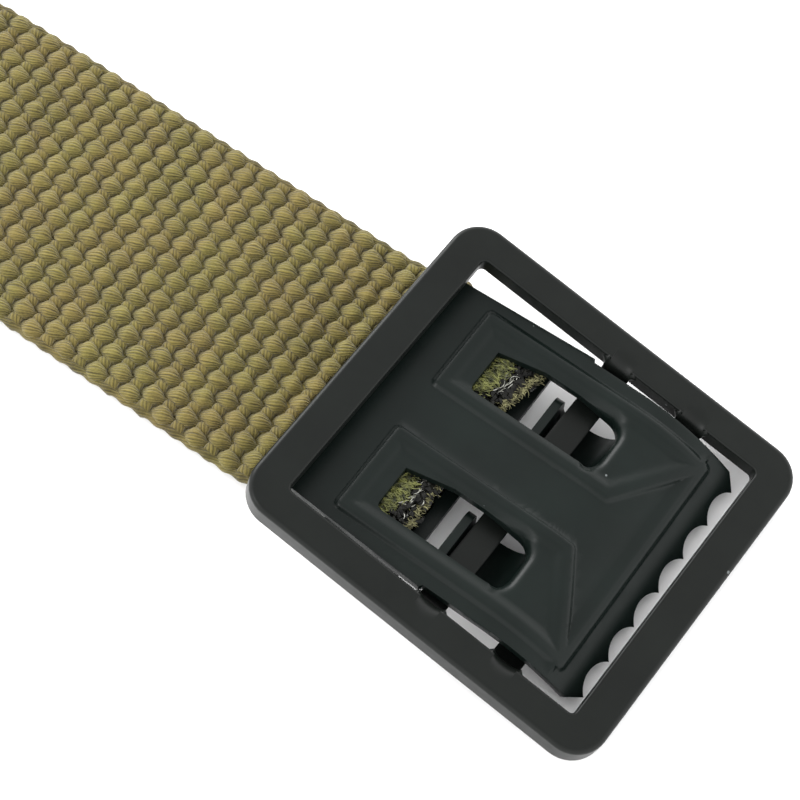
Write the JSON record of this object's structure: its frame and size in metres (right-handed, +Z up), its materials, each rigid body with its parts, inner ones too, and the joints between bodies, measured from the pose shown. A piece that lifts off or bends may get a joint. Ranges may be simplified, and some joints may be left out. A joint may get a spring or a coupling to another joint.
{
  "type": "web belt",
  "caption": "Narrow trouser belt of coarse woven cotton webbing with an open steel frame buckle, a hinged toothed clamp lever and a folded metal tip.",
  "frame": {"origin": "middle of the footprint on the surface that the belt lies on", "axes": "+X runs along the strap towards the buckle, +Y is across the strap, +Z is up from the surface"},
  "size_m": [1.131, 0.0417, 0.0113],
  "materials": {
    "black_steel": "satin blackened sheet steel, worn a little at the edges",
    "cotton_web": "coarse plain weave of thick twisted cotton cords, khaki olive"
  },
  "bodies": {
    "strap_and_lever": {"strap": "cotton_web", "lever": "black_steel", "strap_tip": "black_steel"},
    "frame": {"frame": "black_steel"}
  },
  "joints": [
    {"name": "frame_hinge", "type": "hinge", "parent": "strap_and_lever", "child": "frame", "pos_m": [0.5429, 0, 0.00332], "axis": [0.0192, 0.9998, 0], "range_deg": [-2.5, 75]}
  ]
}
